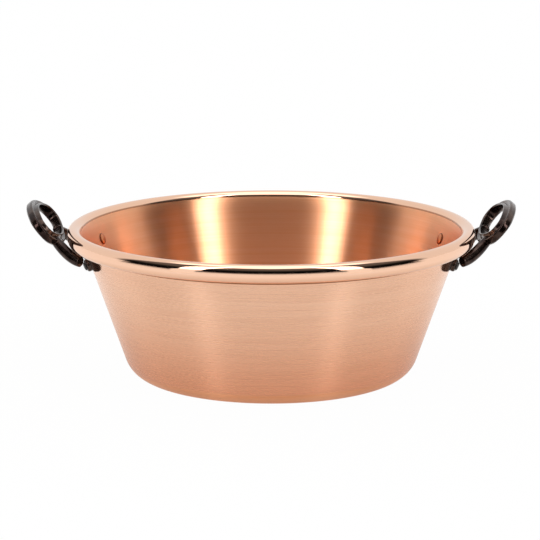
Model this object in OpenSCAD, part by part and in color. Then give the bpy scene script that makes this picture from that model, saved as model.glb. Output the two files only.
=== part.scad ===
// Jam pan: a flared round copper pan with a flat base and an open rolled rim,
// and two cast iron ring handles riveted to the wall just under the rim.
// Millimetres. Origin at the middle of the base's resting face, Z up, handles along X.

/* [Pan] */
// diameter over the rolled rim
rim_d = 380; // [340:1:420]
// height of the rim above the resting face
rim_top = 141.5; // [130:0.5:160]
// radius at which the outside of the wall, carried down straight, meets the floor
wall_foot_r = 130.5; // [118:0.5:136]
// thickness of the copper sheet
sheet = 1.5; // [1.2:0.1:2]
// radius of the outer bend between base and wall
base_round = 26; // [18:0.5:32]

/* [Rolled rim] */
// radius of the roll's bend on the inside of the pan
roll_in_r = 7; // [6:0.25:8]
// radius of the roll's bend at its outer shoulder
roll_out_r = 5.5; // [4.5:0.25:6.5]
// height of the straight outer side of the roll
roll_side = 2.75; // [1.5:0.25:4]
// radius of the roll's lower bend, which tucks it back to the wall
roll_low_r = 7; // [6:0.25:7.5]
// angle on the inner bend at which the roll leaves the wall
crease_angle = 145; // [140:1:155]
// open seam between the tucked edge and the wall
seam_gap = 0.4; // [0.3:0.1:0.8]

/* [Handle ring] */
// length of the oval ring, over its ends
ring_length = 93; // [88:0.5:98]
// width of the oval ring, across the slope
ring_width = 48.5; // [46:0.5:52]
// radius of the oval's tight end bends on the bar's middle line
ring_end_r = 12; // [11:0.5:14]
// width of the ring's bar
bar_width = 8.5; // [7.5:0.25:9.5]
// slope of the ring above level
ring_slope = 50; // [48:0.5:54]
// how far the lower bar's middle stands out from the rim
ring_stand_off = 6.5; // [6:0.25:9]
// how far the lower bar's middle lies below the rim's top
ring_low_drop = 13; // [11.5:0.25:14.5]

/* [Handle feet] */
// turn of each foot's boss and rivet about the pan's axis
foot_turn = 19; // [18:0.25:19.5]
// how far the rivets lie below the rim's top
foot_drop = 24.5; // [23:0.25:27.5]
// height of the flange that lies on the wall
flange_height = 13; // [12:0.5:14]
// thickness of the flange
flange_thick = 4.5; // [3.5:0.25:5.5]
// turn at which the flange ends
flange_end_turn = 22.3; // [21.5:0.1:23]
// turn at which the flange starts
flange_start_turn = 13.5; // [12:0.25:15]
// diameter of the round boss at the rivet
boss_d = 12; // [11:0.25:13]
// height of the boss off the wall
boss_height = 8; // [7:0.25:9]
// turn about the pan's axis at which the arm lands on the flange
arm_turn = 15.7; // [15:0.1:16.5]
// how far the landed arm's middle stands off the wall
arm_off_wall = 9; // [8:0.25:10]
// radius of the arm where it leaves the ring
arm_top_r = 5; // [4.6:0.1:5.4]
// radius of the arm at its bend below the rim
arm_bend_r = 5.8; // [5:0.1:6.2]
// radius of the arm where it meets the flange
arm_foot_r = 4.8; // [4.2:0.1:5.2]

/* [Rivets] */
// diameter of the shank
shank_d = 5; // [4.5:0.1:6]
// clearance of the shank in its holes, on the radius
shank_fit = 0.05; // [0.03:0.01:0.1]
// diameter of the low head inside the pan
head_d = 11; // [10:0.25:12]
// height of the low head
head_height = 1.6; // [1.2:0.1:2.2]
// diameter of the closed end on the boss
tail_d = 8; // [7.5:0.25:9]
// height of the closed end
tail_height = 1.4; // [1:0.1:2]

/* [Fits] */
// gap between the feet and the copper
foot_gap = 0.15; // [0.1:0.05:0.3]
// gap under the rivets' heads
head_gap = 0.1; // [0.05:0.05:0.2]

/* [Hidden] */
around = 80;
bead_steps = 5;
low_steps = 9;
fillet_steps = 6;
arm_facets = 24;
arc_facets = 72;
rivet_facets = 32;
margin = 1;
half = sheet / 2;

// The roll: middle-line centres of its three bends
roll_x = rim_d / 2 - half - roll_out_r;
in_c = [roll_x, rim_top - half - roll_in_r];
out_c = [roll_x, rim_top - half - roll_out_r];
low_c = [rim_d / 2 - half - roll_low_r, out_c.y - roll_side];
crease = in_c + roll_in_r * [cos(crease_angle), sin(crease_angle)];

// The wall: its slope from upright runs from the foot radius to the crease
wall_run = [crease.x - wall_foot_r, crease.y];
slant = atan2(wall_run.x, wall_run.y) + asin(half / norm(wall_run));
function wall_out_r(z) = wall_foot_r + z * tan(slant);
function wall_mid_r(z) = wall_out_r(z) - half / cos(slant);

// The bend at the base, drawn on the outside, and the turn at which the tucked edge stops
fillet_c = [wall_foot_r + base_round * tan(slant) - base_round / cos(slant), base_round];
low_to_wall = (low_c.x - wall_mid_r(low_c.y)) * cos(slant);
tuck_turn = -slant - acos((half + seam_gap - low_to_wall) / (roll_low_r + half));

// Where the handle sits against the rim
ring_low_x = rim_d / 2 + ring_stand_off;
ring_low_z = rim_top - ring_low_drop;
foot_z = rim_top - foot_drop;

// The ring: radii of its side bends and their centres, on the bar's middle line
half_length = (ring_length - bar_width) / 2;
half_width = (ring_width - bar_width) / 2;
end_c = half_length - ring_end_r;
side_r = (end_c * end_c + half_width * half_width - ring_end_r * ring_end_r) / (2 * (half_width - ring_end_r));
side_c = side_r - half_width;
end_sweep = 2 * atan2(side_c, end_c);
side_sweep = 180 - end_sweep;

// The side bends run this far into the end bends, which are drawn a hair fuller to close over them
bend_lap = 0.4;
end_fullness = 1.006;
lap_turn = bend_lap / side_r * 180 / PI;

// Bar section: a shallow groove runs along the face that looks into the pan
bar_half = bar_width / 2;
bar_back = 4.2;
bar_chamfer = 1.6;
bar_outer_top = 3;
bar_inner_top = 6;
groove_floor = 1.8;
bar_section = [
    [-bar_half, bar_chamfer - bar_back], [bar_chamfer - bar_half, -bar_back],
    [bar_half - bar_chamfer, -bar_back], [bar_half, bar_chamfer - bar_back],
    [bar_half, bar_outer_top - 1.2], [bar_half - 0.9, bar_outer_top],
    [bar_half - 2, bar_outer_top + 0.2], [0.9, groove_floor],
    [-0.6, groove_floor + 0.6], [1.9 - bar_half, bar_inner_top],
    [0.8 - bar_half, bar_inner_top], [-bar_half, bar_inner_top - 1]
];

// The arm of each foot: from the ring, past the rim, down to the flange; out is counted from the
// rim's edge, side from the pan's XZ plane, and rise from the ring's lower bar or from the rivets
arm_top_out = 9.5;
arm_top_side = 26;
arm_top_rise = 3;
arm_bend_out = -1.8;
arm_bend_side = 38;
arm_bend_rise = 4.5;
arm_land_rise = -0.5;
arm_land_z = foot_z + arm_land_rise;
arm_land_r = wall_out_r(arm_land_z) + arm_off_wall;
arm_points = [
    [rim_d / 2 + arm_top_out, arm_top_side, ring_low_z + arm_top_rise],
    [rim_d / 2 + arm_bend_out, arm_bend_side, foot_z + arm_bend_rise],
    [arm_land_r * cos(arm_turn), arm_land_r * sin(arm_turn), arm_land_z]
];
arm_radii = [arm_top_r, arm_bend_r, arm_foot_r];

// The rivet: its turn on the wall, and where its head and its closed end start, counted along the
// wall's normal from its outer face
rivet_turn = 90 + slant;
rivet_in = -sheet - head_gap;
rivet_out = boss_height + head_gap;

copper = "#d98a5c";
iron = "#2b2b2d";
rivet_copper = "#c97b52";

// Points on a circular arc
function arc(c, r, from, to, steps) =
    [for (i = [0:steps]) let (a = from + (to - from) * i / steps) c + r * [cos(a), sin(a)]];

// One face of the sheet from the middle of the base to the tucked edge; side is +half for
// the inside of the pan, which is the outside of the roll
function sheet_face(side) = concat(
    [[0, half + side]],
    arc(fillet_c, base_round - half - side, -90, -slant, fillet_steps),
    arc(in_c, roll_in_r + side, crease_angle, 90, bead_steps),
    arc(out_c, roll_out_r + side, 90, 0, bead_steps),
    arc(low_c, roll_low_r + side, 0, tuck_turn, low_steps)
);

function reversed(points) = [for (i = [len(points) - 1:-1:0]) points[i]];

module sheet_profile() {
    polygon(concat(sheet_face(half), reversed(sheet_face(-half))));
}

// Puts +Z along the outward normal of the wall, at a turn about the pan's axis
module on_wall(turn) {
    rotate([0, 0, turn])
        translate([wall_out_r(foot_z), 0, foot_z])
            rotate([0, rivet_turn, 0])
                children();
}

module shank_hole(turn) {
    on_wall(turn)
        translate([0, 0, -sheet - margin])
            cylinder(d = shank_d + 2 * shank_fit, h = boss_height + sheet + 3 * margin, $fn = rivet_facets);
}

module pan_body() {
    color(copper)
        difference() {
            rotate_extrude($fn = around)
                sheet_profile();
            for (side = [0, 180], turn = [-foot_turn, foot_turn])
                shank_hole(side + turn);
        }
}

// One bend of the ring about its own centre, in the ring's own plane
module ring_bend(centre, radius, from, sweep, fullness) {
    translate(centre)
        rotate([0, 0, from])
            rotate_extrude(angle = sweep, $fn = arc_facets)
                translate([radius, 0])
                    polygon(fullness * bar_section);
}

module ring() {
    translate([ring_low_x, 0, ring_low_z])
        rotate([0, -ring_slope, 0])
            translate([half_width, 0, 0]) {
                ring_bend([0, end_c, 0], ring_end_r, 90 - end_sweep / 2, end_sweep, end_fullness);
                ring_bend([0, -end_c, 0], ring_end_r, 270 - end_sweep / 2, end_sweep, end_fullness);
                ring_bend([-side_c, 0, 0], side_r, -side_sweep / 2 - lap_turn, side_sweep + 2 * lap_turn, 1);
                ring_bend([side_c, 0, 0], side_r, 180 - side_sweep / 2 - lap_turn, side_sweep + 2 * lap_turn, 1);
            }
}

module arm_ball(i) {
    translate(arm_points[i])
        sphere(r = arm_radii[i], $fn = arm_facets);
}

// A band of the wall's outer face, thickened outward, between two turns
module flange() {
    low = foot_z - flange_height / 2;
    high = foot_z + flange_height / 2;
    run = flange_thick / cos(slant);
    rotate([0, 0, flange_start_turn])
        rotate_extrude(angle = flange_end_turn - flange_start_turn, $fn = arc_facets)
            polygon([
                [wall_out_r(low) - margin, low], [wall_out_r(low) + run - 1, low],
                [wall_out_r(low + 1) + run, low + 1], [wall_out_r(high - 1) + run, high - 1],
                [wall_out_r(high) + run - 1, high], [wall_out_r(high) - margin, high]
            ]);
}

module boss() {
    on_wall(foot_turn) {
        translate([0, 0, -margin])
            cylinder(d = boss_d, h = boss_height + margin - 1, $fn = rivet_facets);
        translate([0, 0, boss_height - 1])
            cylinder(d1 = boss_d, d2 = boss_d - 2, h = 1, $fn = rivet_facets);
    }
}

module foot() {
    for (i = [0, 1])
        hull() {
            arm_ball(i);
            arm_ball(i + 1);
        }
    flange();
    boss();
}

// What the copper and the rolled rim take up, with the gap the feet keep from them
module copper_envelope() {
    low = foot_z - 3 * flange_height;
    clear = foot_gap / cos(slant);
    rotate_extrude($fn = 4 * arc_facets)
        polygon([
            [0, low], [wall_out_r(low) + clear, low],
            [wall_out_r(in_c.y) + clear, in_c.y], [0, in_c.y]
        ]);
    translate([0, 0, low_c.y])
        rotate_extrude($fn = 4 * arc_facets)
            translate([low_c.x, 0])
                circle(r = roll_low_r + half + 2 * foot_gap, $fn = arc_facets);
}

module handle() {
    color(iron)
        difference() {
            union() {
                ring();
                foot();
                mirror([0, 1, 0]) foot();
            }
            copper_envelope();
            shank_hole(foot_turn);
            shank_hole(-foot_turn);
        }
}

module rivet(turn) {
    on_wall(turn) {
        translate([0, 0, rivet_in])
            cylinder(d = shank_d, h = rivet_out - rivet_in, $fn = rivet_facets);
        translate([0, 0, rivet_in - head_height])
            cylinder(d1 = head_d - 4, d2 = head_d, h = head_height, $fn = rivet_facets);
        translate([0, 0, rivet_out])
            cylinder(d1 = tail_d, d2 = tail_d - 3, h = tail_height, $fn = rivet_facets);
    }
}

module rivet_pair() {
    color(rivet_copper) {
        rivet(foot_turn);
        rivet(-foot_turn);
    }
}

module right_handle() {
    handle();
}

module left_handle() {
    mirror([1, 0, 0]) handle();
}

module right_handle_rivets() {
    rivet_pair();
}

module left_handle_rivets() {
    mirror([1, 0, 0]) rivet_pair();
}

pan_body();
left_handle();
right_handle();
left_handle_rivets();
right_handle_rivets();
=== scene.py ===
"""Looks of a copper jam pan with two cast iron ring handles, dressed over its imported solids."""

import logging
import math
from dataclasses import dataclass, field
from enum import Enum
from typing import Optional, Sequence, Union

import bpy
from mathutils import Matrix, Vector


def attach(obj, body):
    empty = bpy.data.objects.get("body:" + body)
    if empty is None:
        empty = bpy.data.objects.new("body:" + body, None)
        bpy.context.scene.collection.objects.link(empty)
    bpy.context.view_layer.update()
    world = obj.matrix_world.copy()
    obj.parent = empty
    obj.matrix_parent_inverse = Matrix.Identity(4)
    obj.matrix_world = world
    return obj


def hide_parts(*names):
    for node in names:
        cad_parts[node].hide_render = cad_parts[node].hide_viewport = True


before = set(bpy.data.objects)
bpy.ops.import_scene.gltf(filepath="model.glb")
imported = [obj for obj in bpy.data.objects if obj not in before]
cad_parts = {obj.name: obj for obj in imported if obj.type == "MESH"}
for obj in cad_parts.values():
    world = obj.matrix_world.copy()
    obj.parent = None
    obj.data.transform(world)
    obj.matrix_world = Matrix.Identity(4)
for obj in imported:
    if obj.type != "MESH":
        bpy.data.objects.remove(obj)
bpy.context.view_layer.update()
LOG = logging.getLogger("jam_pan")
MM = 0.001
SPIN_SENSE = -1.0

Point = tuple[float, float]
Colour = tuple[float, float, float]
WHITE = (1, 1, 1, 1)


class Slot(Enum):
    """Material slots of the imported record."""

    COPPER = "copper"
    IRON = "iron"
    RIVET = "rivet"


# ---- Shader expressions ----


class Signal:
    """A number that varies over a surface, carried by a node's output socket."""

    def __init__(self, sheet: "NodeSheet", socket: bpy.types.NodeSocket) -> None:
        """Wraps one output socket of a sheet's node."""
        self.sheet = sheet
        self.socket = socket

    def _math(self, operation: str, *values: "Number") -> "Signal":
        """Adds a Math node.

        Args:
            operation: The Math node's operation.
            values: Its inputs in order.

        Returns:
            The node's result.
        """
        node = self.sheet.add("ShaderNodeMath", {"operation": operation}, dict(enumerate(values)))
        return Signal(self.sheet, node.outputs[0])

    def __add__(self, other: "Number") -> "Signal":
        """self + other."""
        return self._math("ADD", self, other)

    def __radd__(self, other: "Number") -> "Signal":
        """other + self."""
        return self._math("ADD", other, self)

    def __sub__(self, other: "Number") -> "Signal":
        """self - other."""
        return self._math("SUBTRACT", self, other)

    def __rsub__(self, other: "Number") -> "Signal":
        """other - self."""
        return self._math("SUBTRACT", other, self)

    def __mul__(self, other: "Number") -> "Signal":
        """self * other."""
        return self._math("MULTIPLY", self, other)

    def __rmul__(self, other: "Number") -> "Signal":
        """other * self."""
        return self._math("MULTIPLY", other, self)

    def __truediv__(self, other: "Number") -> "Signal":
        """self / other."""
        return self._math("DIVIDE", self, other)

    def __abs__(self) -> "Signal":
        """The size of self, without its sign."""
        return self._math("ABSOLUTE", self)

    def root(self) -> "Signal":
        """The square root of self."""
        return self._math("SQRT", self)

    def larger(self, other: "Number") -> "Signal":
        """The larger of self and other."""
        return self._math("MAXIMUM", self, other)

    def turn_from(self, other: "Number") -> "Signal":
        """The angle of the point (other, self), in radians."""
        return self._math("ARCTAN2", self, other)

    def degrees_from(self, other: "Number") -> "Signal":
        """The angle of the point (other, self), in degrees."""
        return self.turn_from(other) * (180 / math.pi)

    def rise(self, low: float, high: float) -> "Signal":
        """A smooth step from 0 to 1.

        Args:
            low: Where the step starts.
            high: Where it ends; below low the step falls instead.

        Returns:
            The step's value.
        """
        if high < low:
            return 1 - self.rise(high, low)
        node = self.sheet.add(
            "ShaderNodeMapRange",
            {"interpolation_type": "SMOOTHSTEP"},
            {"Value": self, "From Min": low, "From Max": high},
        )
        return Signal(self.sheet, node.outputs["Result"])

    def between(self, low: float, high: float, soft: float) -> "Signal":
        """1 from low to high, with soft edges, and 0 elsewhere."""
        return self.rise(low - soft, low + soft) * self.rise(high + soft, high - soft)

    def rise_mm(self, ends: Point) -> "Signal":
        """A smooth step between two lengths in millimetres."""
        return self.rise(ends[0] * MM, ends[1] * MM)

    def between_mm(self, ends: Point, soft: float) -> "Signal":
        """1 between two lengths in millimetres, with soft edges."""
        return self.between(ends[0] * MM, ends[1] * MM, soft * MM)


Number = Union[Signal, float]


class NodeSheet:
    """The node tree of one material, world or lamp."""

    def __init__(self, tree: bpy.types.NodeTree) -> None:
        """Empties the tree."""
        self.tree = tree
        tree.nodes.clear()

    @classmethod
    def for_material(cls, name: str) -> tuple[bpy.types.Material, "NodeSheet"]:
        """A new material and its sheet."""
        made = bpy.data.materials.new(name)
        made.use_nodes = True
        return made, cls(made.node_tree)

    def add(self, kind: str, settings: dict, inputs: dict) -> bpy.types.Node:
        """Adds any node.

        Args:
            kind: The node's type.
            settings: Its own settings, set first.
            inputs: Values or links of its sockets, by name or place.

        Returns:
            The node.
        """
        node = self.tree.nodes.new(kind)
        for name, value in settings.items():
            setattr(node, name, value)
        for name, value in inputs.items():
            if isinstance(value, Signal):
                self.tree.links.new(value.socket, node.inputs[name])
            elif isinstance(value, bpy.types.NodeSocket):
                self.tree.links.new(value, node.inputs[name])
            else:
                node.inputs[name].default_value = value
        return node

    def place(self, space: str = "Object") -> tuple[Signal, Signal, Signal]:
        """The point's x, y and z, on the object in metres unless another space is named."""
        spot = self.add("ShaderNodeTexCoord", {}, {}).outputs[space]
        parts = self.add("ShaderNodeSeparateXYZ", {}, {"Vector": spot})
        return tuple(Signal(self, parts.outputs[i]) for i in range(3))

    def vector(self, x: Number, y: Number, z: Number) -> bpy.types.NodeSocket:
        """A vector of three numbers."""
        return self.add("ShaderNodeCombineXYZ", {}, {0: x, 1: y, 2: z}).outputs[0]

    def noise(self, vector: Optional[bpy.types.NodeSocket], scale: float, detail: float) -> Signal:
        """Noise about 0.5.

        Args:
            vector: Where it is read; None for the object's own coordinates.
            scale: Its fineness, per unit of the vector.
            detail: How many finer layers it has.

        Returns:
            The noise.
        """
        where = vector or self.add("ShaderNodeTexCoord", {}, {}).outputs["Object"]
        node = self.add("ShaderNodeTexNoise", {}, {"Vector": where, "Scale": scale, "Detail": detail})
        return Signal(self, node.outputs[0])

    def mix(self, share: Number, first: Sequence[float], second: Sequence[float]) -> bpy.types.NodeSocket:
        """A colour between two colours; either may be a socket."""
        pair = {6: first, 7: second}
        pair = {k: v if isinstance(v, bpy.types.NodeSocket) else (*v, 1.0) for k, v in pair.items()}
        node = self.add("ShaderNodeMix", {"data_type": "RGBA"}, {0: share, **pair})
        return node.outputs[2]

    def bump(self, height: Signal, strength: float, distance: float) -> bpy.types.NodeSocket:
        """A bumped normal from a height."""
        inputs = {"Height": height, "Strength": strength, "Distance": distance}
        return self.add("ShaderNodeBump", {}, inputs).outputs[0]

    def metal(
        self, colour: bpy.types.NodeSocket, roughness: Signal, normal: bpy.types.NodeSocket, **constant: float
    ) -> None:
        """Closes the sheet with a metal.

        Args:
            colour: Its colour.
            roughness: Its roughness.
            normal: Its bumped normal.
            constant: Further inputs, with _ for a blank in the name.
        """
        inputs = {"Base Color": colour, "Roughness": roughness, "Normal": normal}
        inputs.update({name.replace("_", " "): value for name, value in constant.items()})
        self.close(self.add("ShaderNodeBsdfPrincipled", {}, inputs).outputs[0])

    def close(self, surface: bpy.types.NodeSocket, kind: str = "ShaderNodeOutputMaterial") -> None:
        """Links the finished shader to the tree's output."""
        self.add(kind, {}, {"Surface": surface})


# ---- Finishes ----


@dataclass(frozen=True)
class WallLine:
    """The outer face of the pan's wall, which the finishes measure from. Its foot is in metres."""

    foot_r: float
    rise: float

    def off(self, radius: Signal, z: Signal) -> Signal:
        """How far outside the wall's face a point is."""
        return radius - self.rise * z - self.foot_r


@dataclass(frozen=True)
class TurnedCopper:
    """Copper spun on a lathe: a satin wall with fine rings, and a rolled rim polished bright.

    The heights and the distances off the wall's outer face are in mm.
    """

    wall: WallLine
    colour: Colour = (0.97, 0.62, 0.44)
    warm_colour: Colour = (0.94, 0.55, 0.37)
    # Painted bounce light: the inside's copper is deeper and more saturated than the outside's, standing in for light
    # bounced round the bowl.
    inner_bounce_colour: Colour = (0.95, 0.49, 0.28)
    inner_bounce_warm: Colour = (0.86, 0.36, 0.17)
    # Painted shade: the dark copper of the crease line under the inner lip and of the seam line under the roll, painted
    # shadow with some dirt in the seam.
    shade_and_tarnish: Colour = (0.33, 0.13, 0.06)
    # Painted shade: the outer copper turns deeper towards the base, standing in for the shadowed floor that the wall's
    # foot reflects.
    base_shade_colour: Colour = (0.84, 0.38, 0.22)
    base_shade_share: float = 0.95
    base_shade_z: Point = (100.0, -10.0)
    satin: float = 0.27
    inner_satin: float = 0.31
    polish: float = 0.05
    grain: float = 0.97
    grain_turn: float = 0.25
    ring_fineness: float = 900.0
    inner_calm: float = 0.75
    inside_off: Point = (-0.5, -1.1)
    roll_off: Point = (0.5, 1.3)
    roll_top_z: Point = (136.6, 137.6)
    roll_foot_z: Point = (118.0, 122.0)
    # Where the painted crease shade lies: the bend between the inner wall and the roll.
    crease_shade_z: Point = (136.4, 137.9)
    crease_shade_off: Point = (0.0, -0.6)
    crease_shade_depth: float = 0.75
    # Painted shadow under the roll, with some dirt: a thin dark line on the wall just below the tucked edge.
    seam_shade_z: Point = (121.6, 122.9)
    seam_shade_off: Point = (-0.6, -0.3)

    def material(self) -> bpy.types.Material:
        """Builds the material."""
        made, sheet = NodeSheet.for_material("turned_copper")
        x, y, z = sheet.place()
        radius = (x * x + y * y).root()
        off_wall = self.wall.off(radius, z)
        roll = off_wall.rise_mm(self.roll_off).larger(z.rise_mm(self.roll_top_z)) * z.rise_mm(self.roll_foot_z)
        inside = off_wall.rise_mm(self.inside_off) * (1 - roll)
        along = (radius + z) * self.ring_fineness
        rings = sheet.noise(sheet.vector(x * 9.0, y * 9.0, along), 1.0, 3.0)
        broad = sheet.noise(sheet.vector(x * 6.0, y * 6.0, along * 0.16), 1.0, 2.0)
        handling = sheet.noise(None, 14.0, 4.0)
        tone = (broad - 0.5) * 0.9 + (handling - 0.5) * 0.5 + (rings - 0.5) * 0.8 + 0.35
        outer = sheet.mix(tone * (1 - roll), self.colour, self.warm_colour)
        # Painted shade: the outer copper deepens towards the base in place of the shadowed floor it reflects there.
        outer = sheet.mix(z.rise_mm(self.base_shade_z) * self.base_shade_share, outer, self.base_shade_colour)
        # Painted bounce light: the inside gets the deeper, more saturated copper in place of light bounced inside the
        # bowl.
        inner = sheet.mix(tone, self.inner_bounce_colour, self.inner_bounce_warm)
        bare = sheet.mix(inside, outer, inner)
        # Painted shade: a dark line in the crease between the inner wall and the roll, standing in for the shaded,
        # dark-reflecting bend.
        crease = z.between_mm(self.crease_shade_z, 0.3) * off_wall.rise_mm(self.crease_shade_off)
        # Painted shadow under the roll, with some dirt: the wall darkens in a thin band just below the tucked edge.
        seam_shade = z.between_mm(self.seam_shade_z, 0.25) * off_wall.rise_mm(self.seam_shade_off)
        # The painted crease shade and the painted seam shadow darken the copper here.
        colour = sheet.mix((crease * self.crease_shade_depth).larger(seam_shade), bare, self.shade_and_tarnish)
        calm = 1 - inside * self.inner_calm
        marks = ((rings - 0.5) * 0.10 + (broad - 0.5) * 0.06) * calm
        rough = self.satin - inside * (self.satin - self.inner_satin) + marks
        bright = self.polish + (handling - 0.5) * 0.05
        roughness = rough * (1 - roll) + bright * roll
        normal = sheet.bump(rings * (1 - roll * 0.85) * calm, 0.15, 0.12 * MM)
        sheet.metal(
            colour, roughness, normal, Metallic=1.0, Anisotropic=self.grain, Anisotropic_Rotation=self.grain_turn
        )
        return made


@dataclass(frozen=True)
class BlackenedIron:
    """Dark, glossy cast iron with the soft unevenness of a sand mould."""

    dark: Colour = (0.018, 0.009, 0.008)
    worn: Colour = (0.110, 0.074, 0.060)
    worn_patches: Point = (0.35, 0.75)
    gloss: float = 0.15
    metallic: float = 0.9

    def material(self) -> bpy.types.Material:
        """Builds the material."""
        made, sheet = NodeSheet.for_material("blackened_iron")
        cast = sheet.noise(None, 260.0, 4.0)
        patch = sheet.noise(None, 60.0, 3.0)
        colour = sheet.mix(patch.rise(*self.worn_patches), self.dark, self.worn)
        roughness = self.gloss + (patch - 0.5) * 0.22 + (cast - 0.5) * 0.12
        normal = sheet.bump(cast + patch * 2.0, 0.25, 0.3 * MM)
        sheet.metal(colour, roughness, normal, Metallic=self.metallic)
        return made


@dataclass(frozen=True)
class RivetCopper:
    """Copper rivets: bare and a little dull inside the pan, blackened with the iron outside.

    The distances off the wall's outer face are in mm.
    """

    wall: WallLine
    bare: Colour = (0.66, 0.24, 0.11)
    edge: Colour = (0.14, 0.03, 0.012)
    black: Colour = (0.05, 0.048, 0.047)
    outside_off: Point = (2.0, 3.0)
    edge_off: Point = (-2.5, -1.5)
    roughness: float = 0.3

    def material(self) -> bpy.types.Material:
        """Builds the material."""
        made, sheet = NodeSheet.for_material("rivet_copper")
        x, y, z = sheet.place()
        off_wall = self.wall.off((x * x + y * y).root(), z)
        marks = sheet.noise(None, 500.0, 3.0)
        copper = sheet.mix(off_wall.between_mm(self.edge_off, 0.15), self.bare, self.edge)
        colour = sheet.mix(off_wall.rise_mm(self.outside_off), copper, self.black)
        roughness = self.roughness + (marks - 0.5) * 0.2
        normal = sheet.bump(marks, 0.3, 0.2 * MM)
        sheet.metal(colour, roughness, normal, Metallic=1.0)
        return made


# ---- Bench work: shaping with operators ----


class Bench:
    """The hand operations that the pieces share. Lengths are in metres."""

    @staticmethod
    def clear() -> None:
        """Leaves edit mode and deselects everything."""
        if bpy.context.object is not None and bpy.context.object.mode != "OBJECT":
            bpy.ops.object.mode_set(mode="OBJECT")
        bpy.ops.object.select_all(action="DESELECT")

    @staticmethod
    def take(piece: bpy.types.Object) -> None:
        """Selects one piece alone and makes it active."""
        Bench.clear()
        piece.select_set(True)
        bpy.context.view_layer.objects.active = piece

    @staticmethod
    def settle(piece: bpy.types.Object) -> None:
        """Bakes the piece's place, turn and size into its mesh."""
        Bench.take(piece)
        bpy.ops.object.transform_apply(location=True, rotation=True, scale=True)

    @staticmethod
    def line(name: str, points: Sequence[Vector]) -> bpy.types.Object:
        """Draws a line of edges, extruding one vertex from point to point.

        Args:
            name: The piece's name.
            points: The line's points in order.

        Returns:
            The piece, with the whole line as its mesh.
        """
        Bench.clear()
        bpy.ops.mesh.primitive_plane_add(size=0.1 * MM, location=points[0])
        piece = bpy.context.object
        piece.name = piece.data.name = name
        Bench.settle(piece)
        bpy.ops.object.mode_set(mode="EDIT")
        bpy.ops.mesh.select_all(action="SELECT")
        bpy.ops.mesh.merge(type="CENTER")
        for here, there in zip(points, points[1:]):
            bpy.ops.mesh.extrude_vertices_move(TRANSFORM_OT_translate={"value": tuple(there - here)})
        bpy.ops.mesh.select_all(action="SELECT")
        bpy.ops.object.mode_set(mode="OBJECT")
        return piece

    @staticmethod
    def spin(piece: bpy.types.Object, turn: float, steps: int, centre: Vector, axis: Vector) -> None:
        """Spins what is selected in a piece.

        Args:
            piece: The piece.
            turn: The angle in radians, right-handed about the axis.
            steps: How many steps it takes.
            centre: A point of the axis.
            axis: The axis's direction.
        """
        Bench.take(piece)
        bpy.ops.object.mode_set(mode="EDIT")
        bpy.ops.mesh.spin(steps=steps, angle=SPIN_SENSE * turn, center=tuple(centre), axis=tuple(axis))
        bpy.ops.object.mode_set(mode="OBJECT")

    @staticmethod
    def weld(piece: bpy.types.Object, reach: float) -> None:
        """Merges doubles and turns all faces outwards."""
        Bench.take(piece)
        bpy.ops.object.mode_set(mode="EDIT")
        bpy.ops.mesh.select_all(action="SELECT")
        bpy.ops.mesh.remove_doubles(threshold=reach)
        bpy.ops.mesh.normals_make_consistent(inside=False)
        bpy.ops.object.mode_set(mode="OBJECT")

    @staticmethod
    def cap(piece: bpy.types.Object) -> None:
        """Closes every open end of a piece."""
        Bench.take(piece)
        bpy.ops.object.mode_set(mode="EDIT")
        bpy.ops.mesh.select_all(action="DESELECT")
        bpy.ops.mesh.select_mode(type="EDGE")
        bpy.ops.mesh.select_non_manifold()
        bpy.ops.mesh.fill_holes(sides=0)
        bpy.ops.mesh.select_mode(type="VERT")
        bpy.ops.object.mode_set(mode="OBJECT")

    @staticmethod
    def finish_with(piece: bpy.types.Object, kind: str, **settings: object) -> None:
        """Adds a modifier and applies it.

        Args:
            piece: The piece.
            kind: The modifier's type.
            settings: Its settings.
        """
        Bench.take(piece)
        modifier = piece.modifiers.new(kind.lower(), kind)
        for name, value in settings.items():
            setattr(modifier, name, value)
        bpy.ops.object.modifier_apply(modifier=modifier.name)

    @staticmethod
    def join(pieces: Sequence[bpy.types.Object], name: str) -> bpy.types.Object:
        """Joins pieces into the first one, under a new name."""
        Bench.take(pieces[0])
        for piece in pieces:
            piece.select_set(True)
        bpy.ops.object.join()
        whole = bpy.context.object
        whole.name = whole.data.name = name
        return whole

    @staticmethod
    def twin(piece: bpy.types.Object, name: str, flip: Sequence[float]) -> bpy.types.Object:
        """A mirrored copy with its own mesh.

        Args:
            piece: The piece to copy.
            name: The copy's name.
            flip: -1 for each axis that is mirrored, and 1 for the others.

        Returns:
            The copy.
        """
        Bench.take(piece)
        bpy.ops.object.duplicate()
        copy = bpy.context.object
        copy.name = copy.data.name = name
        copy.scale = flip
        Bench.settle(copy)
        Bench.weld(copy, 0.001 * MM)
        return copy

    @staticmethod
    def drop(piece: bpy.types.Object) -> None:
        """Removes a helper."""
        bpy.data.objects.remove(piece)

    @staticmethod
    def smooth(piece: bpy.types.Object, sharp_from: float) -> None:
        """Shades a piece smooth, with edges sharp from an angle in degrees."""
        Bench.take(piece)
        bpy.ops.object.shade_smooth_by_angle(angle=math.radians(sharp_from))


def arc(centre: Point, radius: float, start: float, stop: float, steps: int) -> list[Point]:
    """Points on a circular arc.

    Args:
        centre: The arc's centre.
        radius: Its radius.
        start: The first angle, in degrees.
        stop: The last angle.
        steps: How many steps it has.

    Returns:
        The points, ends included.
    """
    turns = (math.radians(start + (stop - start) * i / steps) for i in range(steps + 1))
    return [(centre[0] + radius * math.cos(t), centre[1] + radius * math.sin(t)) for t in turns]


# ---- The pan ----


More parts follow.
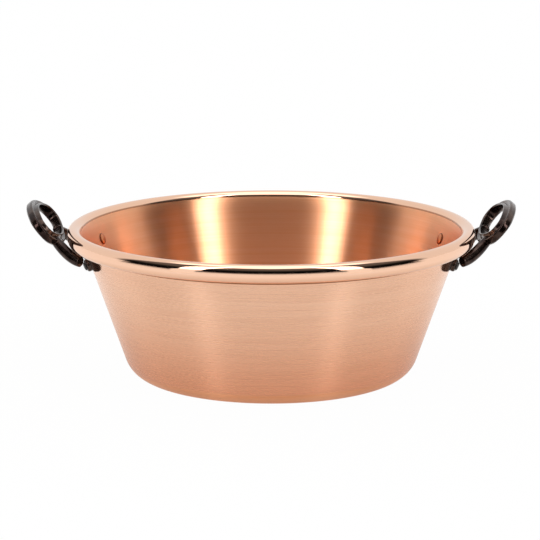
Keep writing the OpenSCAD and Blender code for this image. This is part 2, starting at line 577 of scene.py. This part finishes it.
@dataclass
class Pan:
    """The copper pan: base, flared wall and open rolled rim, from one sheet. Sizes in mm."""

    rim_d: float = 379.88
    rim_top: float = 141.5
    wall_foot_r: float = 130.5
    sheet: float = 1.5
    base_round: float = 26.0
    roll_in_r: float = 7.0
    roll_out_r: float = 5.5
    roll_side: float = 2.75
    roll_low_r: float = 7.0
    crease_angle: float = 145.0
    seam_gap: float = 0.4
    around: int = 256
    in_c: Point = field(init=False)
    out_c: Point = field(init=False)
    low_c: Point = field(init=False)
    slant: float = field(init=False)
    wall_rise: float = field(init=False)

    def __post_init__(self) -> None:
        """Works out the roll's centres and the wall's slope."""
        half = self.sheet / 2
        roll_x = self.rim_d / 2 - half - self.roll_out_r
        self.in_c = (roll_x, self.rim_top - half - self.roll_in_r)
        self.out_c = (roll_x, self.rim_top - half - self.roll_out_r)
        self.low_c = (self.rim_d / 2 - half - self.roll_low_r, self.out_c[1] - self.roll_side)
        crease = arc(self.in_c, self.roll_in_r, self.crease_angle, self.crease_angle, 1)[0]
        run, rise = crease[0] - self.wall_foot_r, crease[1]
        self.slant = math.atan2(run, rise) + math.asin(half / math.hypot(run, rise))
        self.wall_rise = math.tan(self.slant)

    def wall_out_r(self, z: float) -> float:
        """Radius of the wall's outer face at a height."""
        return self.wall_foot_r + z * self.wall_rise

    def wall_line(self) -> WallLine:
        """The wall's outer face, for the finishes."""
        return WallLine(self.wall_foot_r * MM, self.wall_rise)

    def outer_line(self) -> list[Point]:
        """The sheet's face that is outside on the wall and inside the roll, from the axis to the tucked edge."""
        half = self.sheet / 2
        slant, cos_slant = math.degrees(self.slant), math.cos(self.slant)
        fillet = (self.wall_foot_r + self.base_round * (self.wall_rise - 1 / cos_slant), self.base_round)
        gap = (self.low_c[0] - self.wall_out_r(self.low_c[1]) + half / cos_slant) * cos_slant
        tuck = -slant - math.degrees(math.acos((half + self.seam_gap - gap) / (self.roll_low_r + half)))
        base = [(r, 0.0) for r in (0.0, 12.0, 36.0, 70.0, 100.0)]
        bend = arc(fillet, self.base_round, -90.0, -slant, 18)
        rim = arc(self.in_c, self.roll_in_r - half, self.crease_angle, 90.0, 14)
        (r0, z0), (r1, z1), steps = bend[-1], rim[0], 12
        wall = [(r0 + (r1 - r0) * i / steps, z0 + (z1 - z0) * i / steps) for i in range(1, steps)]
        rim += arc(self.out_c, self.roll_out_r - half, 90.0, 0.0, 14)[1:]
        rim += arc(self.low_c, self.roll_low_r - half, 0.0, tuck, 28)
        return base + bend + wall + rim

    def build(self) -> bpy.types.Object:
        """Spins the line round the axis and gives it the sheet's thickness."""
        points = [Vector((r * MM, 0.0, z * MM)) for r, z in self.outer_line()]
        pan = Bench.line("copper_pan", points)
        Bench.spin(pan, 2 * math.pi, self.around, Vector(), Vector((0, 0, 1)))
        Bench.weld(pan, 0.01 * MM)
        self.face_down(pan)
        Bench.finish_with(pan, "SOLIDIFY", thickness=self.sheet * MM, offset=-1.0, use_even_offset=True)
        Bench.smooth(pan, 35.0)
        return pan

    def face_down(self, pan: bpy.types.Object) -> None:
        """Turns the open sheet so that its base faces the table."""
        base = min(pan.data.polygons, key=lambda face: (round(face.center.z, 6), face.center.xy.length))
        if base.normal.z > 0:
            Bench.take(pan)
            bpy.ops.object.mode_set(mode="EDIT")
            bpy.ops.mesh.select_all(action="SELECT")
            bpy.ops.mesh.flip_normals()
            bpy.ops.object.mode_set(mode="OBJECT")

    def envelope(self, gap: float) -> list[bpy.types.Object]:
        """Solids of what the copper takes up where the feet are.

        Args:
            gap: What the feet keep from the copper.

        Returns:
            A cone inside the wall's outer face and a ring round the roll.
        """
        low, high, facets = 80.0, self.in_c[1], 360
        Bench.clear()
        bpy.ops.mesh.primitive_cone_add(
            vertices=facets,
            radius1=(self.wall_out_r(low) + gap) * MM,
            radius2=(self.wall_out_r(high) + gap) * MM,
            depth=(high - low) * MM,
            location=(0, 0, (low + high) / 2 * MM),
        )
        cone = bpy.context.object
        Bench.settle(cone)
        Bench.clear()
        bpy.ops.mesh.primitive_torus_add(
            major_segments=facets,
            minor_segments=64,
            major_radius=self.low_c[0] * MM,
            minor_radius=(self.roll_low_r + self.sheet / 2 + gap) * MM,
            location=(0, 0, self.low_c[1] * MM),
        )
        ring = bpy.context.object
        Bench.settle(ring)
        return [cone, ring]


# ---- The handles ----


@dataclass
class RingHandle:
    """One casting: an oval ring above two swept feet, each with a flange and a boss. Sizes in mm.

    The section's points lie (across, up) from the middle of the bar, across being away from the oval's middle.
    The arm's knots are x, y, z and radius.
    """

    pan: Pan
    length: float = 93.0
    width: float = 48.5
    end_r: float = 12.0
    bar: float = 8.5
    slope: float = 50.0
    low_x: float = 196.5
    low_z: float = 128.5
    foot_turn: float = 19.0
    foot_z: float = 117.0
    flange_height: float = 13.0
    flange_thick: float = 4.5
    flange_turns: Point = (13.5, 22.3)
    boss_d: float = 12.0
    boss_height: float = 8.0
    boss_round: float = 1.8
    foot_gap: float = 0.2
    grain: float = 0.45
    quick_grain: float = 0.9
    section: list[Point] = field(default_factory=lambda: [
        (-4.25, -2.6), (-2.65, -4.2), (2.65, -4.2), (4.25, -2.6), (4.25, 1.8), (3.35, 3.0),
        (2.25, 3.2), (0.9, 1.8), (-0.6, 2.4), (-2.35, 6.0), (-3.45, 6.0), (-4.25, 5.0),
    ])
    arm: list[tuple[float, float, float, float]] = field(default_factory=lambda: [
        (201.5, 20.0, 134.0, 4.2), (198.5, 27.0, 131.0, 4.9), (188.6, 37.6, 121.8, 6.0),
        (181.0, 44.5, 117.6, 5.6), (174.4, 48.9, 116.3, 4.9),
    ])

    def ring(self) -> bpy.types.Object:
        """Spins the bar's section through the oval's four bends."""
        a, b = (self.length - self.bar) / 2, (self.width - self.bar) / 2
        end_c = a - self.end_r
        side_r = (end_c ** 2 + b ** 2 - self.end_r ** 2) / (2 * (b - self.end_r))
        side_c = side_r - b
        end_turn = 2 * math.atan2(side_c, end_c)
        side_turn = math.pi - end_turn
        slope = math.radians(self.slope)
        u, v = Vector((math.cos(slope), 0, math.sin(slope))), Vector((0, 1, 0))
        n = u.cross(v)
        middle = Vector((self.low_x, 0, self.low_z)) + b * u
        start = -side_turn / 2
        radial = math.cos(start) * u + math.sin(start) * v
        centres = [middle - side_c * u, middle + end_c * v, middle + side_c * u, middle - end_c * v]
        foot = centres[0] + side_r * radial
        points = [(foot + across * radial + up * n) * MM for across, up in self.section]
        ring = Bench.line("ring", points + points[:1])
        for centre, turn in zip(centres, (side_turn, end_turn, side_turn, end_turn)):
            Bench.spin(ring, turn, 30, centre * MM, n)
        Bench.weld(ring, 0.02 * MM)
        return ring

    def arm_tube(self) -> bpy.types.Object:
        """Draws the swept arm as a path of changing thickness and makes it a mesh."""
        Bench.clear()
        bpy.ops.curve.primitive_nurbs_path_add()
        path = bpy.context.object
        for knot, (x, y, z, thick) in zip(path.data.splines[0].points, self.arm):
            knot.co = (x * MM, y * MM, z * MM, 1.0)
            knot.radius = thick
        path.data.bevel_depth = MM
        path.data.bevel_resolution = 6
        path.data.use_fill_caps = True
        path.data.resolution_u = 16
        Bench.take(path)
        bpy.ops.object.convert(target="MESH")
        Bench.weld(path, 0.001 * MM)
        return path

    def flange(self) -> bpy.types.Object:
        """Spins the flange's upright section along the wall."""
        low, high = self.foot_z - self.flange_height / 2, self.foot_z + self.flange_height / 2
        run = self.flange_thick / math.cos(self.pan.slant)
        corners = [
            (self.pan.wall_out_r(low) - 1, low), (self.pan.wall_out_r(low) + run - 1, low),
            (self.pan.wall_out_r(low + 1) + run, low + 1), (self.pan.wall_out_r(high - 1) + run, high - 1),
            (self.pan.wall_out_r(high) + run - 1, high), (self.pan.wall_out_r(high) - 1, high),
        ]
        start, stop = (math.radians(t) for t in self.flange_turns)
        points = [Vector((r * math.cos(start), r * math.sin(start), z)) * MM for r, z in corners]
        flange = Bench.line("flange", points + points[:1])
        Bench.spin(flange, stop - start, 10, Vector(), Vector((0, 0, 1)))
        Bench.weld(flange, 0.001 * MM)
        Bench.cap(flange)
        Bench.weld(flange, 0.001 * MM)
        return flange

    def on_wall(self, turn: float) -> Matrix:
        """Puts +Z along the wall's outward normal at a turn in degrees, at the rivets' height."""
        spot = Vector((self.pan.wall_out_r(self.foot_z) * MM, 0, self.foot_z * MM))
        about = Matrix.Rotation(math.radians(turn), 4, "Z")
        return about @ Matrix.Translation(spot) @ Matrix.Rotation(math.pi / 2 + self.pan.slant, 4, "Y")

    def boss(self) -> bpy.types.Object:
        """Turns the round boss and stands it on the flange."""
        r, top = self.boss_d / 2, self.boss_height - 0.4
        shoulder = arc((r - self.boss_round, top - self.boss_round), self.boss_round, 0.0, 90.0, 6)
        outline = [(0.0, -1.0), (r, -1.0), *shoulder, (0.0, top)]
        boss = Bench.line("boss", [Vector((x * MM, 0, z * MM)) for x, z in outline])
        Bench.spin(boss, 2 * math.pi, 40, Vector(), Vector((0, 0, 1)))
        Bench.weld(boss, 0.01 * MM)
        boss.matrix_world = self.on_wall(self.foot_turn)
        Bench.settle(boss)
        return boss

    def build(self) -> bpy.types.Object:
        """Fuses ring and feet into one casting and fits it to the copper.

        Returns:
            The right handle.
        """
        foot = Bench.join([self.arm_tube(), self.flange(), self.boss()], "foot")
        other = Bench.twin(foot, "other_foot", (1, -1, 1))
        casting = Bench.join([self.ring(), foot, other], "right_ring_handle")
        grain = self.grain
        Bench.finish_with(casting, "REMESH", mode="VOXEL", voxel_size=grain * MM, adaptivity=0.0)
        Bench.finish_with(casting, "SMOOTH", factor=0.5, iterations=3)
        for cutter in self.pan.envelope(self.foot_gap):
            Bench.finish_with(casting, "BOOLEAN", operation="DIFFERENCE", solver="MANIFOLD", object=cutter)
            Bench.drop(cutter)
        Bench.smooth(casting, 50.0)
        return casting


@dataclass
class RivetPair:
    """The rivets of one handle, one through each boss. Sizes in mm."""

    handle: RingHandle
    shank_d: float = 5.0
    head_d: float = 11.0
    head_height: float = 1.6
    tail_d: float = 8.0
    tail_height: float = 1.4
    head_gap: float = 0.1

    def build(self) -> bpy.types.Object:
        """Turns one rivet, copies it and puts both in place.

        Returns:
            The right handle's pair.
        """
        inner = -self.handle.pan.sheet - self.head_gap
        outer = self.handle.boss_height + self.head_gap
        head, tail, shank = self.head_d / 2, self.tail_d / 2, self.shank_d / 2
        outline = [
            (0.0, inner - self.head_height), (head * 0.45, inner - self.head_height * 0.92),
            (head * 0.78, inner - self.head_height * 0.66), (head * 0.95, inner - self.head_height * 0.34),
            (head, inner - 0.1), (head, inner), (shank, inner), (shank, outer), (tail, outer),
            (tail * 0.95, outer + self.tail_height * 0.4), (tail * 0.72, outer + self.tail_height * 0.8),
            (tail * 0.4, outer + self.tail_height * 0.96), (0.0, outer + self.tail_height),
        ]
        rivet = Bench.line("rivet", [Vector((x * MM, 0, z * MM)) for x, z in outline])
        Bench.spin(rivet, 2 * math.pi, 40, Vector(), Vector((0, 0, 1)))
        Bench.weld(rivet, 0.01 * MM)
        rivet.matrix_world = self.handle.on_wall(self.handle.foot_turn)
        Bench.settle(rivet)
        other = Bench.twin(rivet, "other_rivet", (1, -1, 1))
        pair = Bench.join([rivet, other], "right_rivets")
        Bench.smooth(pair, 40.0)
        return pair


# ---- The studio ----


@dataclass
class Studio:
    """Floor, surround and camera. Lengths in metres, turns from straight ahead and heights in degrees."""

    reach: float = 30.0
    eye_distance: float = 2.5
    eye_elevation: float = 0.2058
    eye_height: float = 0.0987
    pixels_per_metre: float = 1070.4
    frame_px: float = 540.0
    axis_px: float = 271.2

    # Painted shadow: the floor is painted darker and warmer near the pan for its contact shadow and the copper's
    # bounce, seen mostly in the wall's reflection.
    floor_shade_near: Colour = (0.66, 0.57, 0.48)
    floor_paint_far: Colour = (0.86, 0.86, 0.86)
    floor_shadow_share: float = 0.015
    floor_gloss: float = 0.45
    room_light: float = 0.85
    overhead_light: float = 1.8
    box_low_light: float = 2.0
    box_top_light: float = 6.8

    @staticmethod
    def card(turn: Signal) -> Signal:
        """The share of a softbox at a turn from straight ahead, in degrees."""
        return turn.between(38.0, 51.5, 1.0)

    def floor(self) -> bpy.types.Object:
        """A pale floor that is white to the camera, keeps a soft shadow, and is dark to the bead in front."""
        Bench.clear()
        bpy.ops.mesh.primitive_circle_add(vertices=96, radius=self.reach, fill_type="NGON", location=(0, 0, -0.05 * MM))
        floor = bpy.context.object
        floor.name = floor.data.name = "studio_floor"
        Bench.settle(floor)
        made, sheet = NodeSheet.for_material("studio_floor")
        x, y, _ = sheet.place()
        path = sheet.add("ShaderNodeLightPath", {}, {})
        camera, glossy = (Signal(sheet, path.outputs[name]) for name in ("Is Camera Ray", "Is Glossy Ray"))
        reach = (x * x + y * y).root()
        # Floor paint with a painted shadow and copper bounce near the pan, fading to plain grey paint further out.
        paint_and_shade = sheet.mix(reach.rise(0.12, 0.50), self.floor_shade_near, self.floor_paint_far)
        turn = abs(x).degrees_from(0.0 - y)
        card = self.card(turn) * reach.rise(0.60, 0.75)
        dusk = turn.rise(88.0, 80.0) * reach.rise(0.80, 1.0) * (1 - card)
        matt = sheet.add("ShaderNodeBsdfDiffuse", {}, {"Color": paint_and_shade})
        glow = sheet.add("ShaderNodeEmission", {}, {"Color": WHITE, "Strength": 1 - glossy * dusk})
        gloss = self.floor_gloss + (card + dusk) * (1 - self.floor_gloss)
        share = camera * (1 - self.floor_shadow_share) + glossy * gloss
        both = sheet.add("ShaderNodeMixShader", {}, {0: share, 1: matt.outputs[0], 2: glow.outputs[0]})
        sheet.close(both.outputs[0])
        floor.data.materials.append(made)
        return floor

    def surround(self) -> None:
        """A world that is white to the camera: bright behind and overhead, dark in front but for two softboxes."""
        world = bpy.data.worlds.new("studio")
        bpy.context.scene.world = world
        world.use_nodes = True
        sheet = NodeSheet(world.node_tree)
        x, y, z = sheet.place("Generated")
        turn = abs(x).degrees_from(0.0 - y)
        height = z.degrees_from((x * x + y * y).root())
        behind = turn.rise(86.0, 98.0)
        boxes = self.card(turn) * height.rise(72.0, 62.0)
        wing = turn.between(56.0, 86.0, 2.0)
        overhead = height.rise(58.0, 66.0) * (1 - wing) + height.rise(72.0, 78.0) * wing
        front = 0.005 + height.rise(14.0, 40.0) * 0.12
        box_light = self.box_low_light + height.rise(8.0, 24.0) * (self.box_top_light - self.box_low_light)
        light = front * (1 - behind) + behind * self.room_light
        light = light * (1 - overhead) + overhead * self.overhead_light
        light = light * (1 - boxes) + boxes * box_light
        path = sheet.add("ShaderNodeLightPath", {}, {})
        camera = Signal(sheet, path.outputs["Is Camera Ray"])
        glow = sheet.add("ShaderNodeBackground", {}, {"Color": WHITE, "Strength": light * (1 - camera) + camera})
        sheet.close(glow.outputs[0], "ShaderNodeOutputWorld")

    def camera(self) -> None:
        """The camera at the photograph's angle."""
        e = self.eye_elevation
        seat = Vector((0, -self.eye_distance * math.cos(e), self.eye_height + self.eye_distance * math.sin(e)))
        Bench.clear()
        bpy.ops.object.camera_add(location=seat, rotation=(math.pi / 2 - e, 0, 0))
        eye = bpy.context.object
        eye.data.sensor_width = 36.0
        eye.data.lens = 36.0 * self.pixels_per_metre * self.eye_distance / self.frame_px
        eye.data.shift_x = (self.frame_px / 2 - self.axis_px) / self.frame_px
        bpy.context.scene.camera = eye

    def build(self) -> None:
        """Sets up everything that is not the pan."""
        bpy.context.scene.view_settings.view_transform = "Standard"
        self.floor()
        self.surround()
        self.camera()


def dress(piece: bpy.types.Object, finish: bpy.types.Material, node: str) -> None:
    """Gives a finished piece its material and its place in the frame.

    Args:
        piece: The piece.
        finish: Its material.
        node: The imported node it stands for.
    """
    piece.data.materials.clear()
    piece.data.materials.append(finish)
    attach(piece, "root")
    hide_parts(node)
    LOG.info("%s: %d faces, stands for %s", piece.name, len(piece.data.polygons), node)


def main() -> None:
    """Builds and dresses the pan, its handles and rivets, then the studio."""
    logging.basicConfig(level=logging.INFO, format="%(name)s: %(message)s")
    pan = Pan()
    copper = TurnedCopper(pan.wall_line()).material()
    iron = BlackenedIron().material()
    rivet_copper = RivetCopper(pan.wall_line()).material()
    dress(pan.build(), copper, "pan_body")
    handle = RingHandle(pan)
    right_handle = handle.build()
    left_handle = Bench.twin(right_handle, "left_ring_handle", (-1, 1, 1))
    right_rivets = RivetPair(handle).build()
    left_rivets = Bench.twin(right_rivets, "left_rivets", (-1, 1, 1))
    dress(right_handle, iron, "right_handle")
    dress(left_handle, iron, "left_handle")
    dress(right_rivets, rivet_copper, "right_handle_rivets")
    dress(left_rivets, rivet_copper, "left_handle_rivets")
    Studio().build()


if __name__ == "__main__":
    main()
